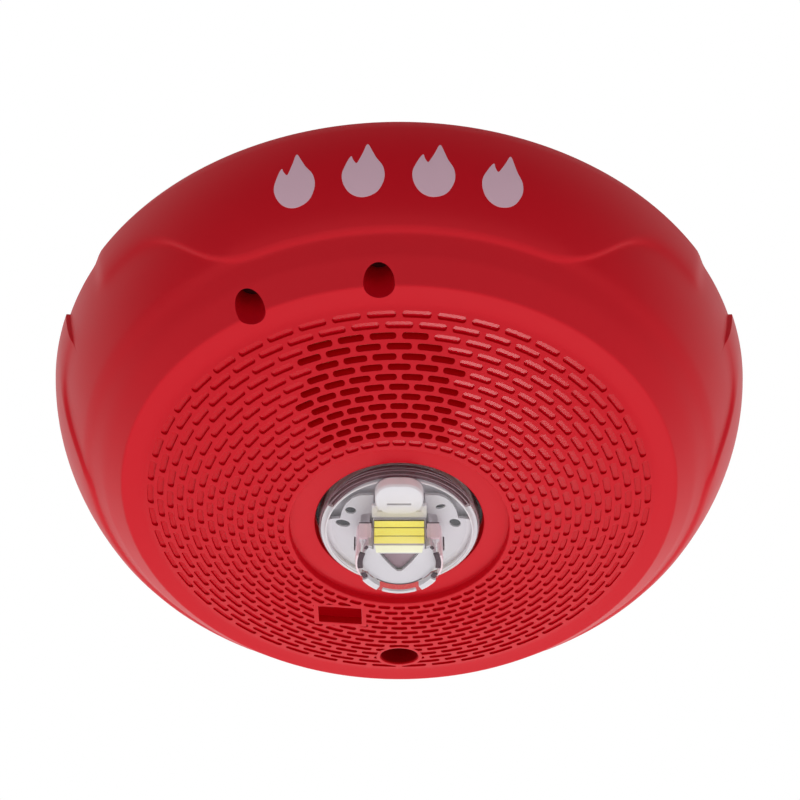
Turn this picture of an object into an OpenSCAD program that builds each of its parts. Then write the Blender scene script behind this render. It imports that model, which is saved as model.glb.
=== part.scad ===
// Ceiling-mounted horn strobe of a fire alarm system, as an assembly of its real pieces.
// The origin is the centre of the mounting plate's back, which lies on the ceiling.
// +Z points up into the ceiling, and the device hangs to -Z. The hooks are on the -Y side,
// and the captive mounting screw is on the +Y side. All sizes are in millimetres.

/* [Cover] */
// Diameter of the cover's rim at the ceiling
rim_d = 172.8; // [172:0.1:174]
// Depth of the face's edge below the ceiling
face_edge_h = 33.8; // [33.6:0.1:34]
// Radius of the face's edge
face_edge_r = 66.4; // [66:0.1:66.8]
// Wall thickness of the cover
cover_wall = 2.2; // [2:0.1:2.3]
// How far the three-lobed crown stands out from the side
crown_step = 0.9; // [0.7:0.1:1]
// Depth of the band that the crown keeps between its lobes
crown_band_h = 9; // [8:0.5:10]
// Depth of the crown's lobes
crown_lobe_h = 26; // [25:0.5:26]

/* [Grille] */
// Radius of the outermost row
brick_row_r = 59.4; // [59.2:0.1:59.6]
// Spacing of the rows
brick_pitch = 2.413; // [2.4:0.001:2.42]
// Bricks in each row
bricks_per_row = 48; // [48]
// Width of a brick across its row
brick_w = 1.5; // [1.3:0.1:1.6]
// Angle that a brick spans along its row
brick_span = 6.15; // [5.8:0.05:6.3]

/* [Lens] */
// Radius of the opening round the lens
lens_opening_r = 20; // [19.9:0.1:20.2]
// Radius of the recessed seat round the lens
seat_r = 26; // [25.8:0.1:26.2]
// Depth of the seat below the ceiling
seat_h = 41.2; // [41:0.1:41.4]
// Depth of the lens tower's tip below the ceiling
lens_tip_h = 54.5; // [54:0.5:56]

/* [Mounting] */
// Radius of the mounting plate
plate_r = 78; // [77:0.5:78.5]
// Thickness of the mounting plate
plate_t = 3; // [2.8:0.1:3]
// Hole spacing of a 4 inch octagon or square box
box_spacing = 88.9; // [88.9]
// Hole spacing of a single gang box
gang_spacing = 83.3; // [83.3]
// Distance of the captive screw from the centre
captive_y = 53.6; // [53.4:0.1:53.8]
// Full travel of the light level slider each way
slider_travel = 6; // [4:0.5:6]

/* [Hidden] */

$fn = 96;
fine_fn = 180;
eps = 0.01;
wide = 200;

red = "firebrick";
black = "dimgray";
white = "whitesmoke";
metal = "silver";
brass = "goldenrod";
board_green = "seagreen";

// Heights below the ceiling
rim_gap = 0.3;
shoulder_h = 24;
rear_top_h = 13;
rear_t = 2;
board_top_h = 20;
board_t = 1.6;
board_under_h = board_top_h + board_t;
seat_inside_h = 39;
led_board_h = 37;

// Side of the cover: a curve from the rim to the shoulder, then a cone to the face's edge
rim_r = rim_d / 2;
side_draft = 0.108;
side_curve = 0.0118;
function side_drop(h) = side_draft * h + side_curve * h * h;
shoulder_r = rim_r - side_drop(shoulder_h);
cone_slope = (shoulder_r - face_edge_r) / (face_edge_h - shoulder_h);
function side_r(h) = h <= shoulder_h ? rim_r - side_drop(h) : shoulder_r - (h - shoulder_h) * cone_slope;

// The side's own surface lies one crown step inside, and meets the cone again below the lobes
blend_h = 4;
function step_left(h) = crown_step * min(1, max(0, 1 - (h - crown_lobe_h) / blend_h));
function base_r(h) = side_r(h) - step_left(h);
function inner_r(h) = base_r(h) - cover_wall * (1 + 0.4 * min(1, h / shoulder_h));

// Face: a shallow dome, flatter in the smooth ring near its edge
dome_h = 45.13;
dome_curve = 0.002865;
dome_out_r = 61.5;
dome_in_r = 27.6;
function face_h(r) = dome_h - dome_curve * r * r;

// Grille
brick_step = 360 / bricks_per_row;
front_dir = 270;
function row_r(row) = brick_row_r - (row - 1) * brick_pitch;
function row_shift(row) = row % 2 == 1 ? brick_step / 2 : 0;
// The bricks that go right through, over the horn, as angles from the front direction
through_first_row = 3;
through_last_row = 13;
function through_low(row) = row <= 6 ? -24 : -30.5;
function through_high(row) = min(20, 6.5 + 3 * (row - through_first_row));

// Screw wells near the face's edge, as [angle, radius]
wells = [[266.25, 66.8], [241, 67.5]];
well_r = 3.5;
well_wall = 1.5;
well_floor_h = 22;
well_top_h = 20;

// Captive screw and its well
captive_hole_r = 4.7;
captive_tube_r = 6.4;
captive_seat_h = 22;
captive_tube_top_h = 20;
captive_shank_r = 2;
captive_head_r = 4;
captive_head_t = 3;
boss_h = 8;

// Setting window and the slider behind it
window_x = -14.7;
window_y = 32.4;
window_w = 10.6;
window_d = 7.2;
lever_w = 4;
lever_slot_w = lever_w + 2 * slider_travel + 1;
lever_slot_d = 5;

// Horn chamber, a rounded rectangle over the through bricks
horn_x = -4.5;
horn_y = -43.75;
horn_w = 43;
horn_d = 33.5;
horn_corner_r = 8;
horn_wall = 1.4;
horn_rim_h = 31;
horn_gasket_t = 1;
disc_r = 15;
disc_t = 0.3;
disc_h = 27;

// Hooks of the plate, and the ribs of the cover that hang on them
hook_x = 15;
hook_w = 9;
rib_w = 14;
rib_in_y = -75;
rib_h = 3.7;
rib_t = 2;
hook_leg_y = -73;
hook_tip_y = -77;
hook_foot_h = 10;
hook_t = 2;

// Terminals
block_w = 56;
block_y = 4;
block_d = 20;
block_h = 11.5;
terminal_pitch = 12;
terminal_count = 4;
terminal_y = -0.5;
blade_y = 10;
cell_w = 8;
function terminal_x(i) = (i - (terminal_count - 1) / 2) * terminal_pitch;

tone_x = 24;
tone_y = 28;
tone_r = 3;
board_r = 58;
board_posts = [[52, 195], [52, 345], [52, 65], [52, 120]];

module at_depth(h) {
    translate([0, 0, -h]) children();
}

module at_polar(r, angle) {
    rotate([0, 0, angle]) translate([r, 0, 0]) children();
}

module at_corners(x, y) {
    for (side_x = [-x, x]) for (side_y = [-y, y]) translate([side_x, side_y, 0]) children();
}

module ring(outer_r, inner_r, t) {
    difference() {
        cylinder(r = outer_r, h = t);
        translate([0, 0, -1]) cylinder(r = inner_r, h = t + 2);
    }
}

module centred_block(w, d, t) {
    translate([-w / 2, -d / 2, 0]) cube([w, d, t]);
}

module rounded_rect(w, d, r) {
    square([w - 2 * r, d], center = true);
    square([w, d - 2 * r], center = true);
    at_corners(w / 2 - r, d / 2 - r) circle(r = r, $fn = 48);
}

module horn_outline(inset) {
    translate([horn_x, horn_y]) rounded_rect(horn_w - 2 * inset, horn_d - 2 * inset, horn_corner_r - inset);
}

module wedge(angle, span) {
    rotate([0, 0, angle]) polygon([[0, 0], [wide, -wide * tan(span / 2)], [wide, wide * tan(span / 2)]]);
}

// ---- Cover ----

side_steps = [rim_gap, for (h = [2:2:shoulder_h]) h,
              crown_lobe_h, crown_lobe_h + 2, crown_lobe_h + blend_h];
face_steps = [for (r = [dome_out_r:-3:dome_in_r + 1]) r, dome_in_r];
edge_round = 0.9;

function cover_outline() = concat(
    [for (h = side_steps) [base_r(h), -h]],
    [[side_r(face_edge_h - edge_round * 0.7), edge_round * 0.7 - face_edge_h],
     [face_edge_r - edge_round, -face_edge_h - 0.1]],
    [for (r = face_steps) [r, -face_h(r)]],
    [[seat_r, -seat_h]]);

function cavity_outline() = concat(
    [[seat_r + 2, -seat_inside_h]],
    [for (r = [31:6:61]) [r, -face_h(r) + cover_wall]],
    [[inner_r(face_edge_h - cover_wall), -face_edge_h + cover_wall]],
    [for (h = [30, 28, crown_lobe_h, shoulder_h, 20, 16, 12, 8, 4]) [inner_r(h), -h]],
    [[inner_r(rim_gap), -rim_gap]]);

module cover_solid() {
    rotate_extrude($fn = fine_fn)
        polygon(concat(cover_outline(), [[0, -seat_h], [0, -rim_gap]]));
}

module cover_shell() {
    rotate_extrude($fn = fine_fn)
        polygon(concat(cover_outline(), [[lens_opening_r, -seat_h], [lens_opening_r, -seat_inside_h]],
                       cavity_outline()));
}

// The edge of a lobe falls along a smooth S-curve on both sides
lobe_flat_x = 38.5;
lobe_edge_w = 21;
function lobe_edge_h(x) = crown_lobe_h
    - (crown_lobe_h - crown_band_h) * (1 - cos(180 * (abs(x) - lobe_flat_x) / lobe_edge_w)) / 2;
lobe_half_w = lobe_flat_x + lobe_edge_w;
lobe_steps = 10;

module crown_lobe() {
    edge = [for (i = [0:lobe_steps]) lobe_flat_x + lobe_edge_w * i / lobe_steps];
    rotate([90, 0, 0]) linear_extrude(rim_r + 2)
        polygon(concat([[lobe_half_w, 0], [-lobe_half_w, 0]],
                       [for (i = [lobe_steps:-1:0]) [-edge[i], -lobe_edge_h(edge[i])]],
                       [for (x = edge) [x, -lobe_edge_h(x)]]));
}

// The crown is cut away in two notches, one on each side
notch_angles = [207.5, 332.5];
notch_span = 13;

module crown() {
    embed = 0.8;
    depths = [rim_gap, for (h = [2:2:shoulder_h]) h, crown_lobe_h];
    difference() {
        intersection() {
            rotate_extrude($fn = fine_fn)
                polygon(concat([for (h = depths) [side_r(h), -h]],
                               [for (i = [len(depths) - 1:-1:0]) [base_r(depths[i]) - embed, -depths[i]]]));
            union() {
                at_depth(crown_band_h) cylinder(r = rim_r + 2, h = crown_band_h, $fn = fine_fn);
                for (turn = [0, 120, 240]) rotate([0, 0, turn]) crown_lobe();
            }
        }
        for (angle = notch_angles) at_depth(crown_band_h + 1) linear_extrude(crown_band_h + 2)
            difference() {
                wedge(angle, notch_span);
                circle(r = inner_r(crown_band_h) + 1);
            }
    }
}

module through_bricks(row) {
    at_depth(dome_h + 1) linear_extrude(dome_h - horn_rim_h)
        intersection() {
            difference() {
                circle(r = row_r(row) + brick_w / 2);
                circle(r = row_r(row) - brick_w / 2);
            }
            union() {
                for (i = [-6:6]) {
                    angle = i * brick_step + row_shift(row);
                    if (angle > through_low(row) && angle < through_high(row))
                        wedge(front_dir + angle, brick_span);
                }
            }
        }
}

module cover_bosses() {
    for (well = wells) at_polar(well[1], well[0]) at_depth(face_edge_h + 3)
        cylinder(r = well_r + well_wall, h = face_edge_h + 3 - well_top_h);
    translate([0, captive_y, 0]) at_depth(dome_h)
        cylinder(r = captive_tube_r, h = dome_h - captive_tube_top_h);
    at_depth(dome_h) linear_extrude(dome_h - horn_rim_h) difference() {
        horn_outline(0);
        horn_outline(horn_wall);
    }
    at_depth(seat_inside_h + eps) ring(seat_r, lens_opening_r + 2.9, seat_inside_h - led_board_h + eps);
    for (x = [-hook_x, hook_x]) translate([x, 0, 0]) at_depth(rib_h + rib_t)
        translate([-rib_w / 2, -rim_r, 0]) cube([rib_w, rim_r + rib_in_y, rib_t]);
}

module front_cover() {
    color(red) difference() {
        union() {
            cover_shell();
            crown();
            intersection() {
                cover_solid();
                cover_bosses();
            }
        }
        for (row = [through_first_row:through_last_row]) through_bricks(row);
        for (well = wells) at_polar(well[1], well[0]) {
            at_depth(face_edge_h + 4) cylinder(r = well_r, h = face_edge_h + 4 - well_floor_h);
            at_depth(well_floor_h + 1) cylinder(r = 1.8, h = 4);
        }
        translate([0, captive_y, 0]) {
            at_depth(dome_h) cylinder(r = captive_hole_r, h = dome_h - captive_seat_h);
            at_depth(captive_seat_h + 1) cylinder(r = captive_shank_r + 0.4, h = 4);
        }
        translate([window_x, window_y, 0]) at_depth(dome_h) centred_block(window_w, window_d, 10);
    }
}

module rear_housing() {
    wall_h = 19.5;
    color(black) difference() {
        union() {
            at_depth(rear_top_h + rear_t) cylinder(r = rim_r - 8.2, h = rear_t, $fn = fine_fn);
            at_depth(wall_h) ring(rim_r - 12.2, rim_r - 14.2, wall_h - rear_top_h - rear_t + eps);
            for (well = wells) at_polar(well[1], well[0]) at_depth(well_top_h)
                cylinder(r = 4.2, h = well_top_h - rear_top_h - 1);
            for (post = board_posts) at_polar(post[0], post[1]) at_depth(board_top_h)
                cylinder(r = 3, h = board_top_h - rear_top_h - 1);
        }
        for (well = wells) at_polar(well[1], well[0]) at_depth(well_top_h + 1) cylinder(r = 1.5, h = 5.8);
        for (post = board_posts) at_polar(post[0], post[1]) at_depth(board_top_h + 1)
            cylinder(r = 1.3, h = 6);
        translate([0, captive_y, 0]) at_depth(rear_top_h + rear_t + 1) cylinder(r = 4.2, h = rear_t + 2);
        translate([tone_x, tone_y, 0]) at_depth(rear_top_h + rear_t + 1) cylinder(r = 4.2, h = rear_t + 2);
        translate([window_x, window_y, 0]) at_depth(rear_top_h + rear_t + 1)
            centred_block(lever_slot_w, lever_slot_d, rear_t + 2);
        translate([0, blade_y, 0]) at_depth(rear_top_h + rear_t + 1)
            centred_block(block_w - 8, 7, rear_t + 2);
    }
}

// A screw that points up: the head's underside is at the given depth
module screw_up(head_r, head_t, shank_r, shank_l, seat_h, drive_w) {
    difference() {
        union() {
            at_depth(seat_h + head_t) cylinder(r = head_r, h = head_t);
            at_depth(seat_h + eps) cylinder(r = shank_r, h = shank_l + eps);
        }
        at_depth(seat_h + head_t + 1) for (turn = [0, 90]) rotate([0, 0, turn])
            centred_block(head_r * 1.3, drive_w, 1 + head_t * 0.6);
    }
}

module cover_screws() {
    color(metal) for (well = wells) at_polar(well[1], well[0])
        screw_up(2.9, 2, 1.45, 6.4, well_floor_h, 0.9);
}

// ---- Mounting plate and terminals ----

module plate_slot(length, w) {
    at_depth(plate_t + 1) linear_extrude(plate_t + 2) {
        square([length - w, w], center = true);
        for (side = [-1, 1]) translate([side * (length - w) / 2, 0]) circle(d = w, $fn = 48);
    }
}

slot_l = 8;
slot_w = 4.4;
wire_opening_w = 30;
wire_opening_d = 24;
wire_opening_y = -24;

module mounting_plate() {
    color(black) difference() {
        union() {
            at_depth(plate_t) cylinder(r = plate_r, h = plate_t, $fn = fine_fn);
            translate([0, captive_y, 0]) at_depth(boss_h) cylinder(r = 5.5, h = boss_h);
            for (x = [-hook_x, hook_x]) translate([x - hook_w / 2, 0, -hook_foot_h - hook_t]) {
                translate([0, hook_leg_y, 0]) cube([hook_w, hook_t, hook_foot_h + hook_t]);
                translate([0, hook_tip_y, 0]) cube([hook_w, hook_leg_y - hook_tip_y + 1, hook_t]);
            }
        }
        for (side = [-1, 1]) {
            translate([side * box_spacing / 2, 0, 0]) plate_slot(slot_l, slot_w);
            translate([0, side * gang_spacing / 2, 0]) rotate([0, 0, 90]) plate_slot(slot_l, slot_w);
        }
        translate([0, captive_y, 0]) at_depth(boss_h + 1)
            cylinder(r = captive_shank_r + 0.45, h = boss_h + 2);
        translate([0, wire_opening_y, 0]) at_depth(plate_t + 1) linear_extrude(plate_t + 2)
            rounded_rect(wire_opening_w, wire_opening_d, 3);
        for (side = [-1, 1]) translate([side * 52, 30, 0]) at_depth(plate_t + 1) linear_extrude(plate_t + 2)
            rounded_rect(14, 30, 4);
    }
}

clamp_size = 6.8;
clamp_t = 1;
clamp_h = 8.4;
cell_top_h = 6;
terminal_shank_r = 1.5;

module terminal_block() {
    color(white) difference() {
        translate([0, block_y, 0]) at_depth(block_h) centred_block(block_w, block_d, block_h - plate_t);
        for (i = [0:terminal_count - 1]) translate([terminal_x(i), 0, 0]) {
            translate([0, terminal_y - 2, 0]) at_depth(block_h + 1)
                centred_block(cell_w, 11, block_h + 1 - cell_top_h);
            translate([0, terminal_y, 0]) at_depth(cell_top_h + 1)
                cylinder(r = terminal_shank_r + 0.05, h = 3.5);
            translate([0, blade_y, 0]) at_depth(block_h + 1) centred_block(5, 6, block_h + 1 - cell_top_h);
        }
    }
}

module terminal_screws() {
    color(metal) for (i = [0:terminal_count - 1]) translate([terminal_x(i), terminal_y, 0])
        screw_up(2.9, 1.8, terminal_shank_r, 4.6, clamp_h + clamp_t, 0.9);
}

module wire_clamps() {
    color(brass) for (i = [0:terminal_count - 1]) translate([terminal_x(i), terminal_y, 0])
        at_depth(clamp_h + clamp_t) difference() {
            centred_block(clamp_size, clamp_size, clamp_t);
            translate([0, 0, -1]) cylinder(r = terminal_shank_r + 0.1, h = clamp_t + 2);
        }
}

module spring_contacts() {
    strip_t = 0.4;
    color(brass) for (i = [0:terminal_count - 1]) for (side = [-1, 1])
        translate([terminal_x(i) + side * 2.2, blade_y, 0]) at_depth(block_h - 0.5)
            centred_block(strip_t, 4, block_h - 0.5 - cell_top_h);
}

module shorting_spring() {
    strip_w = 4;
    strip_t = 0.5;
    color(metal) {
        translate([0, block_y + block_d / 2 + 4, 0]) at_depth(plate_t + strip_t)
            centred_block(26, strip_w, strip_t);
        for (x = [-12, 12]) translate([x, block_y + block_d / 2 + 4, 0]) at_depth(plate_t + 5)
            centred_block(strip_t, strip_w, 5);
    }
}

// ---- Circuit board ----

module circuit_board() {
    color(board_green) difference() {
        at_depth(board_under_h) cylinder(r = board_r, h = board_t);
        for (post = board_posts) at_polar(post[0], post[1]) at_depth(board_under_h + 1)
            cylinder(r = 1.4, h = 4);
        translate([0, captive_y, 0]) at_depth(board_under_h + 1) cylinder(r = captive_tube_r + 0.6, h = 4);
        translate([window_x, window_y, 0]) at_depth(board_under_h + 1)
            centred_block(lever_slot_w, lever_slot_d, board_t + 2);
    }
}

module board_screws() {
    color(metal) for (post = board_posts) at_polar(post[0], post[1])
        screw_up(2.6, 1.6, 1.2, 5, board_under_h, 0.8);
}

module contact_blades() {
    blade_h = 8.4;
    color(brass) for (i = [0:terminal_count - 1]) translate([terminal_x(i), blade_y, 0]) {
        at_depth(board_top_h) centred_block(2.4, 0.8, board_top_h - blade_h);
        at_depth(board_top_h) centred_block(4, 3, 1);
    }
}

module storage_capacitor() {
    can_r = 6.2;
    can_l = 22;
    color("midnightblue") translate([43, 11, -board_under_h - can_r]) rotate([90, 0, 0]) difference() {
        cylinder(r = can_r, h = can_l);
        translate([0, 0, 2.2]) ring(can_r + 1, can_r - 0.5, 1);
    }
}

module inductor() {
    color("saddlebrown") translate([-42, 10, 0]) {
        at_depth(board_under_h + 1.5) cylinder(r = 6.5, h = 1.5);
        at_depth(board_under_h + 7) cylinder(r = 5, h = 5.6);
        at_depth(board_under_h + 8.5) cylinder(r = 6.5, h = 1.5);
    }
}

module integrated_circuits() {
    chips = [[30, -20, 10, 10, 1.4], [-34, -10, 8, 5, 1.6], [-40, 28, 6.5, 9, 2.3], [30, 34, 5, 4, 1.5]];
    color(black) for (chip = chips) translate([chip[0], chip[1], 0]) at_depth(board_under_h + chip[4])
        centred_block(chip[2], chip[3], chip[4]);
}

tone_body_h = 15.1;
tone_pocket = 3;

module tone_switch() {
    color(white) translate([tone_x, tone_y, 0]) at_depth(board_top_h) difference() {
        centred_block(11, 11, board_top_h - tone_body_h);
        translate([0, 0, board_top_h - tone_body_h - tone_pocket])
            cylinder(r = tone_r + 0.08, h = tone_pocket + 1);
    }
}

module tone_rotor() {
    rotor_h = 4.4;
    color("orange") translate([tone_x, tone_y, 0]) at_depth(tone_body_h + tone_pocket - 0.05) difference() {
        cylinder(r = tone_r, h = rotor_h);
        translate([0, 0, rotor_h - 1]) centred_block(5, 1, 2);
        translate([0, 2.2, rotor_h - 0.5]) cylinder(r = 0.6, h = 1);
    }
}

level_switch_t = 4;

module level_switch() {
    color(black) translate([window_x, window_y, 0]) at_depth(board_under_h + level_switch_t) difference() {
        centred_block(26, 9, level_switch_t);
        translate([0, 0, -1]) centred_block(lever_slot_w, lever_w + 0.6, level_switch_t + 2);
    }
}

module level_slider() {
    carriage_h = board_under_h + level_switch_t + 0.1;
    flag_h = 33.4;
    flag_t = 0.8;
    lever_top_h = 10.8;
    color(white) translate([window_x, window_y, 0]) {
        at_depth(carriage_h + 1.2) centred_block(lever_w, lever_w, carriage_h + 1.2 - lever_top_h);
        at_depth(carriage_h + 1.2) centred_block(20, 8, 1.2);
        at_depth(flag_h) centred_block(lever_w, lever_w, flag_h - carriage_h - 1);
        translate([0, 2.9, 0]) at_depth(flag_h + flag_t) centred_block(24, 13.6, flag_t);
    }
}

// ---- Horn ----

module horn_gasket() {
    color("black") at_depth(horn_rim_h) linear_extrude(horn_gasket_t) difference() {
        horn_outline(0);
        horn_outline(2.4);
    }
}

module horn_housing() {
    rim_top_h = horn_rim_h - horn_gasket_t;
    floor_t = 2;
    color(red) difference() {
        at_depth(rim_top_h) linear_extrude(rim_top_h - board_under_h) horn_outline(0);
        difference() {
            at_depth(rim_top_h + 1) linear_extrude(rim_top_h + 1 - board_under_h - floor_t)
                horn_outline(horn_wall);
            translate([horn_x, horn_y, 0]) at_depth(disc_h - disc_t)
                ring(disc_r + 0.8, disc_r - 1.5, disc_h - disc_t - board_under_h);
        }
    }
}

module diaphragm_disc() {
    color(brass) translate([horn_x, horn_y, 0]) at_depth(disc_h) cylinder(r = disc_r, h = disc_t);
}

module ceramic_element() {
    color(white) translate([horn_x, horn_y, 0]) at_depth(disc_h - disc_t) cylinder(r = 10, h = 0.3);
}

// ---- Strobe ----

flange_r = 22.5;
flange_t = 1.4;
gasket_t = 0.6;
lens_r = 19;
lens_wall = 1.6;
lens_floor_h = 44;
lens_floor_r = 17.4;
tower_r = 10.25;
bump_w = 12.2;
bump_d = 10.4;
bump_r = 4.6;
bump_y = 13;
bump_h = 46.8;
retainer_t = 2.5;

// Outer form of the lens, or its hollow when inset: a low drum, a round tower and a rounded block
module lens_form(inset) {
    top_h = led_board_h - (inset > 0 ? 1 : 0);
    edge = inset > 0 ? 0.3 : 1;
    floor_h = lens_floor_h - inset;
    tip_h = lens_tip_h - inset;
    rotate_extrude()
        polygon([[0, -top_h], [lens_r - inset, -top_h], [lens_r - inset, -seat_h],
                 [lens_r - 0.4 - inset, 1.2 - floor_h], [lens_floor_r - inset, -floor_h], [0, -floor_h]]);
    rotate_extrude()
        polygon([[0, -top_h], [tower_r - inset, -top_h], [tower_r - inset, edge - tip_h],
                 [tower_r - edge - inset, -tip_h], [0, -tip_h]]);
    translate([0, -bump_y, 0]) at_depth(bump_h - inset) linear_extrude(bump_h - inset - seat_h)
        rounded_rect(bump_w - 2 * inset, bump_d - 2 * inset, bump_r - inset);
}

module strobe_lens() {
    color("aliceblue", 0.4) difference() {
        union() {
            lens_form(0);
            at_depth(led_board_h + flange_t) cylinder(r = flange_r, h = flange_t);
        }
        lens_form(lens_wall);
    }
}

module lens_gasket() {
    color("black") at_depth(seat_inside_h) ring(flange_r, lens_opening_r + 0.3, gasket_t);
}

module lens_retainer() {
    color(black) at_depth(led_board_h) difference() {
        ring(seat_r, 18.2, retainer_t);
        for (angle = retainer_angles) at_polar(retainer_screw_r, angle) translate([0, 0, -1])
            cylinder(r = 1, h = 5);
    }
}

retainer_angles = [30, 150, 210, 330];
retainer_screw_r = 24.4;

// Screws that point down, from the retainer into the seat ring
module retainer_screws() {
    head_t = 1.2;
    head_h = led_board_h - retainer_t;
    color(metal) for (angle = retainer_angles) at_polar(retainer_screw_r, angle) {
        at_depth(head_h) difference() {
            cylinder(r = 1.5, h = head_t);
            translate([0, 0, head_t - 0.5]) centred_block(2.2, 0.5, 1);
        }
        at_depth(led_board_h) cylinder(r = 0.9, h = retainer_t + eps);
    }
}

module led_board() {
    color(white) at_depth(led_board_h) cylinder(r = 18, h = board_t);
}

post_w = 12.4;
post_t = 8.8;
post_h = lens_tip_h - lens_wall - 0.4;
valley_w = 4.6;
valley_h = 46;
strip_count = 4;
strip_pitch = 2.1;
strip_t = 0.6;
strip_w = 11.6;

// The post carries the LED strips on both sides, with a valley along its middle
module reflector() {
    floor_t = 1.5;
    rib_x = 7.4;
    pad_x = 12.6;
    color(white) difference() {
        union() {
            at_depth(led_board_h + floor_t) cylinder(r = 17.2, h = floor_t);
            at_depth(post_h) centred_block(post_w, post_t, post_h - led_board_h - 1);
            for (side = [-1, 1]) translate([side * rib_x, 0, 0]) at_depth(post_h)
                centred_block(1.6, 5, post_h - led_board_h - 1);
            for (side = [-1, 1]) translate([side * pad_x, 0, 0]) at_depth(lens_floor_h - 2.2)
                centred_block(3.8, 10, lens_floor_h - 2.2 - led_board_h - 1);
        }
        translate([-wide / 2, 0, 0]) rotate([90, 0, 90]) linear_extrude(wide)
            polygon([[0, -valley_h], [valley_w / 2, -post_h - 1], [-valley_w / 2, -post_h - 1]]);
    }
}

module led_strips() {
    color("yellow") for (side = [-1, 1]) for (i = [0:strip_count - 1])
        translate([0, side * (post_t + strip_t) / 2, 0]) at_depth(post_h - i * strip_pitch)
            centred_block(strip_w, strip_t, 1.7);
}

module inner_optic() {
    bar_h = strip_count * strip_pitch;
    bar_y = post_t / 2 + strip_t + 0.2;
    color("aliceblue", 0.4) intersection() {
        at_depth(post_h) cylinder(r = tower_r - lens_wall - 0.3, h = bar_h);
        for (side = [-1, 1]) translate([0, side * (bar_y + 5), 0]) at_depth(post_h)
            centred_block(strip_w, 10, bar_h);
    }
}

module led_header() {
    color(brass) for (x = [-2.5, 2.5]) translate([x, 16, 0]) at_depth(led_board_h - board_t)
        cylinder(r = 0.5, h = led_board_h - board_t - board_under_h);
}

module heat_sink() {
    sink_r = 14;
    base_h = led_board_h - board_t;
    color(metal) intersection() {
        at_depth(base_h) cylinder(r = sink_r, h = 9);
        union() {
            at_depth(base_h) cylinder(r = sink_r, h = 2);
            for (x = [-10.8:3.6:10.8]) translate([x, 0, 0]) at_depth(base_h)
                centred_block(1.2, 2 * sink_r, 9);
        }
    }
}

// ---- Captive screw ----

module mounting_screw() {
    tip_h = 3;
    groove_h = 12;
    color(metal) translate([0, captive_y, 0]) difference() {
        screw_up(captive_head_r, captive_head_t, captive_shank_r, captive_seat_h - tip_h,
                 captive_seat_h, 1.2);
        at_depth(groove_h + 0.6) ring(captive_shank_r + 1, captive_shank_r - 0.4, 1.2);
    }
}

module screw_retainer() {
    color("black") translate([0, captive_y, 0]) at_depth(12.5) ring(3.6, captive_shank_r - 0.35, 1);
}

mounting_plate();
terminal_block();
terminal_screws();
wire_clamps();
spring_contacts();
shorting_spring();
front_cover();
rear_housing();
cover_screws();
circuit_board();
board_screws();
contact_blades();
storage_capacitor();
inductor();
integrated_circuits();
tone_switch();
tone_rotor();
level_switch();
level_slider();
horn_housing();
horn_gasket();
diaphragm_disc();
ceramic_element();
strobe_lens();
lens_gasket();
lens_retainer();
retainer_screws();
led_board();
led_strips();
led_header();
inner_optic();
reflector();
heat_sink();
mounting_screw();
screw_retainer();
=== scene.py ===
import math

import bmesh
import bpy
import numpy as np
from mathutils import Matrix, Vector
from mathutils.bvhtree import BVHTree


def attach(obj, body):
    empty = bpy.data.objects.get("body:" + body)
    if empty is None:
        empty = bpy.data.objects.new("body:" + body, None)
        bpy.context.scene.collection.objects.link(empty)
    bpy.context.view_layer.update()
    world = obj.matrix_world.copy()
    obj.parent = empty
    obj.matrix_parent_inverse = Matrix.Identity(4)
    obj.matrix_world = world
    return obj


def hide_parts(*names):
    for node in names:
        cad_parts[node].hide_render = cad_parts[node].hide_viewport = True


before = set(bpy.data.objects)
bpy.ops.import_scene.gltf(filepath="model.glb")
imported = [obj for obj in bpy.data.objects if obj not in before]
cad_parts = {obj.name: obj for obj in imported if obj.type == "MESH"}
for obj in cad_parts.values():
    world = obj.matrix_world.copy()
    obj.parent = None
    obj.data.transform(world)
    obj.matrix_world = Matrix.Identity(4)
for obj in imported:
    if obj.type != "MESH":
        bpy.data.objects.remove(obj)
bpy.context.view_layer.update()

MM = 0.001

# Sizes in millimetres and angles in degrees; h is the depth below the ceiling, so z = -h

# Cover: side, cone, ring, dome and the seat of the lens
RIM_R, RIM_H = 86.4, 0.3
SIDE_LEAN, SIDE_CURVE = 0.108, 0.0118
SHOULDER_H = 24.0
EDGE_R, EDGE_H = 66.4, 33.8
CONE_SLOPE = (RIM_R - SIDE_LEAN * SHOULDER_H - SIDE_CURVE * SHOULDER_H ** 2 - EDGE_R) / (EDGE_H - SHOULDER_H)
RING_IN_R = 61.5
DOME_TOP_H, DOME_CURVE = 45.13, 0.002865
SEAT_R, SEAT_H, SEAT_IN_H, SEAT_WALL = 26.0, 41.2, 39.0, 3.1
OPENING_R = 20.0
WALL = 2.2

# Crown: the raised upper part of the side, with three lobes and two notches
STEP = 0.9
STEP_FADE = 4.0
LOBE_H, BAND_H = 25.4, 9.0
LOBE_CENTRES = (30, 150, 270)
LOBE_FLAT, LOBE_FALL = 38.5, 21.0
LOBE_ROUNDING = range(-8, 9, 2)
NOTCHES = ((201.0, 214.0), (339.0, 326.0))
CRISP_EDGE, SOFT_EDGE = 0.22, 4.0
COLUMN_STEP = 0.9375

# Grille: rows of bricks, as pockets or cut through
ROW_R, PITCH, BRICK_ROWS = 59.4, 2.413, 14
BRICK_W, BRICK_SPAN, BRICK_STEP, BRICK_CORNER = 1.5, 6.15, 7.5, 0.6
BRICK_LEVELS = ((-0.12, 0.22), (0.0, 0.11), (0.03, 0.03), (0.1, 0.0))
POCKET = (0.62, 0.18)
THROUGH_H = 31.0

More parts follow.
